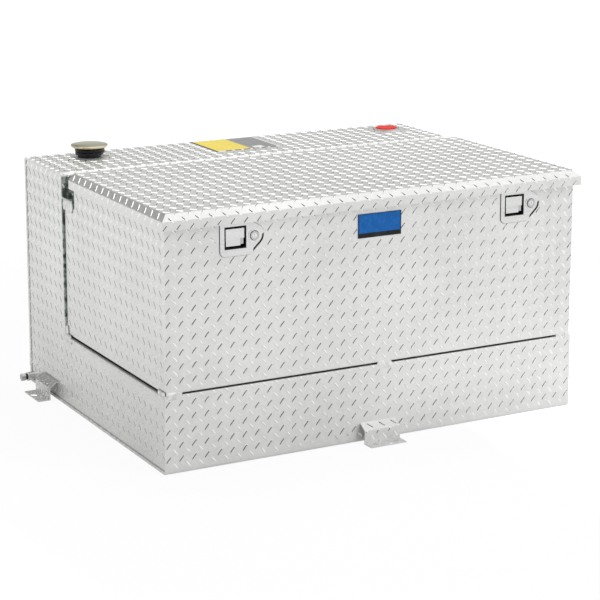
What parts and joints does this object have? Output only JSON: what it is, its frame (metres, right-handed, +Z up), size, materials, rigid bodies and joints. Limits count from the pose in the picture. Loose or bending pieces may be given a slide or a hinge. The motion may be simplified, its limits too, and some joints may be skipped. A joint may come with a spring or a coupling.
{
  "type": "truck bed transfer tank",
  "caption": "L-shaped sheet metal liquid transfer tank with a hinged-lid tool chest in its notch, paddle latches, gas struts, filler cap and bolt-down feet.",
  "frame": {"origin": "middle of the tank's flat underside, halfway along its length and its depth", "axes": "+X along the length to the right as seen from the front, +Y from the chest's front to the tank's back, +Z up"},
  "size_m": [1.314, 0.9802, 0.6833],
  "materials": {
    "tread_aluminium": "bright mill finish with raised tread bars",
    "end_sheet": "bright mill finish",
    "inner_sheet": "mill finish",
    "bracket_sheet": "mill finish",
    "weld_metal": "satin",
    "drain_plug": "zinc plated",
    "red_plastic": "satin",
    "black_neck": "satin black",
    "black_rubber": "matt",
    "cap_metal": "yellow zinc",
    "label": "printed film",
    "badge": "gloss blue",
    "hinge_steel": "satin",
    "bracket_steel": "zinc plated",
    "strut_black": "gloss black",
    "strut_rod": "polished",
    "latch_plate": "polished stainless",
    "latch_steel": "zinc plated",
    "lock_metal": "polished"
  },
  "bodies": {
    "tank": {"tank_wrapper": "tread_aluminium", "tank_end_left": "end_sheet", "tank_end_right": "end_sheet", "tank_baffle_left": "inner_sheet", "tank_baffle_right": "inner_sheet", "tank_seams": "weld_metal", "bracket_left": "bracket_sheet", "bracket_right": "bracket_sheet", "bracket_front": "bracket_sheet", "chest_welds": "weld_metal", "drain_coupling": "weld_metal", "drain_plug": "drain_plug", "pump_bung": "weld_metal", "port_plug": "red_plastic", "filler_neck": "black_neck", "filler_collar": "black_neck", "filler_seal": "black_rubber", "top_label": "label", "chest_wrapper": "tread_aluminium", "chest_end_left": "end_sheet", "chest_end_right": "end_sheet", "weatherstrip": "black_rubber", "badge_plate": "badge", "hinge_leaf_chest": "hinge_steel", "hinge_pin": "hinge_steel", "strut_mounts_chest": "bracket_steel", "latch_left_dish": "latch_plate", "latch_left_gasket": "black_rubber", "latch_left_clamp": "latch_steel", "latch_left_trim": "black_rubber", "latch_left_pin": "latch_steel", "latch_left_spring": "latch_steel", "latch_left_guide": "latch_steel", "latch_left_lock": "lock_metal", "latch_right_dish": "latch_plate", "latch_right_gasket": "black_rubber", "latch_right_clamp": "latch_steel", "latch_right_trim": "black_rubber", "latch_right_pin": "latch_steel", "latch_right_spring": "latch_steel", "latch_right_guide": "latch_steel", "latch_right_lock": "lock_metal"},
    "lid": {"lid_skin": "tread_aluminium", "lid_stiffeners": "inner_sheet", "hinge_leaf_lid": "hinge_steel", "strikers": "bracket_steel", "strut_mounts_lid": "bracket_steel"},
    "strut_left_tube": {"strut_left_tube": "strut_black"},
    "strut_left_rod": {"strut_left_rod": "strut_rod"},
    "strut_right_tube": {"strut_right_tube": "strut_black"},
    "strut_right_rod": {"strut_right_rod": "strut_rod"},
    "latch_left_paddle": {"latch_left_paddle": "latch_plate"},
    "latch_left_bolt": {"latch_left_bolt": "latch_steel"},
    "latch_left_key_plug": {"latch_left_key_plug": "lock_metal"},
    "latch_right_paddle": {"latch_right_paddle": "latch_plate"},
    "latch_right_bolt": {"latch_right_bolt": "latch_steel"},
    "latch_right_key_plug": {"latch_right_key_plug": "lock_metal"},
    "filler_cap": {"filler_cap": "cap_metal"}
  },
  "joints": [
    {"name": "lid_hinge", "type": "hinge", "parent": "tank", "child": "lid", "pos_m": [0, 0.1138, 0.606], "axis": [-1, 0, 0], "range_deg": [0, 75]},
    {"name": "strut_left_tube_turn", "type": "hinge", "parent": "tank", "child": "strut_left_tube", "pos_m": [-0.562, 0.05194, 0.43696], "axis": [-1, 0, 0], "range_deg": [0, 37.5]},
    {"name": "strut_left_rod_turn", "type": "hinge", "parent": "lid", "child": "strut_left_rod", "pos_m": [-0.562, -0.06549, 0.622], "axis": [-1, 0, 0], "range_deg": [-37.5, 0]},
    {"name": "strut_right_tube_turn", "type": "hinge", "parent": "tank", "child": "strut_right_tube", "pos_m": [0.562, 0.05194, 0.43696], "axis": [-1, 0, 0], "range_deg": [0, 37.5]},
    {"name": "strut_right_rod_turn", "type": "hinge", "parent": "lid", "child": "strut_right_rod", "pos_m": [0.562, -0.06549, 0.622], "axis": [-1, 0, 0], "range_deg": [-37.5, 0]},
    {"name": "latch_left_paddle_turn", "type": "hinge", "parent": "tank", "child": "latch_left_paddle", "pos_m": [-0.407, -0.454, 0.5945], "axis": [-1, 0, 0], "range_deg": [0, 30], "stiffness_Nm_per_rad": 0.6, "springref_deg": -20.05},
    {"name": "latch_left_bolt_slide", "type": "slide", "parent": "tank", "child": "latch_left_bolt", "axis": [0, -1, 0], "range_m": [0, 0.01281]},
    {"name": "latch_left_key_turn", "type": "hinge", "parent": "tank", "child": "latch_left_key_plug", "pos_m": [-0.356, -0.452, 0.578], "axis": [0, 1, 0], "range_deg": [0, 90]},
    {"name": "latch_right_paddle_turn", "type": "hinge", "parent": "tank", "child": "latch_right_paddle", "pos_m": [0.407, -0.454, 0.5945], "axis": [-1, 0, 0], "range_deg": [0, 30], "stiffness_Nm_per_rad": 0.6, "springref_deg": -20.05},
    {"name": "latch_right_bolt_slide", "type": "slide", "parent": "tank", "child": "latch_right_bolt", "axis": [0, -1, 0], "range_m": [0, 0.01281]},
    {"name": "latch_right_key_turn", "type": "hinge", "parent": "tank", "child": "latch_right_key_plug", "pos_m": [0.458, -0.452, 0.578], "axis": [0, 1, 0], "range_deg": [0, 90]},
    {"name": "filler_cap_lift", "type": "slide", "parent": "tank", "child": "filler_cap", "axis": [0, 0, 1], "range_m": [0, 0.06]}
  ],
  "couplings": [
    {"joint": "strut_left_tube_turn", "follows": "lid_hinge", "ratio": 0.5},
    {"joint": "strut_left_rod_turn", "follows": "lid_hinge", "ratio": -0.5},
    {"joint": "strut_right_tube_turn", "follows": "lid_hinge", "ratio": 0.5},
    {"joint": "strut_right_rod_turn", "follows": "lid_hinge", "ratio": -0.5},
    {"joint": "latch_left_bolt_slide", "follows": "latch_left_paddle_turn", "m_per_rad": 0.02445},
    {"joint": "latch_right_bolt_slide", "follows": "latch_right_paddle_turn", "m_per_rad": 0.02445}
  ]
}
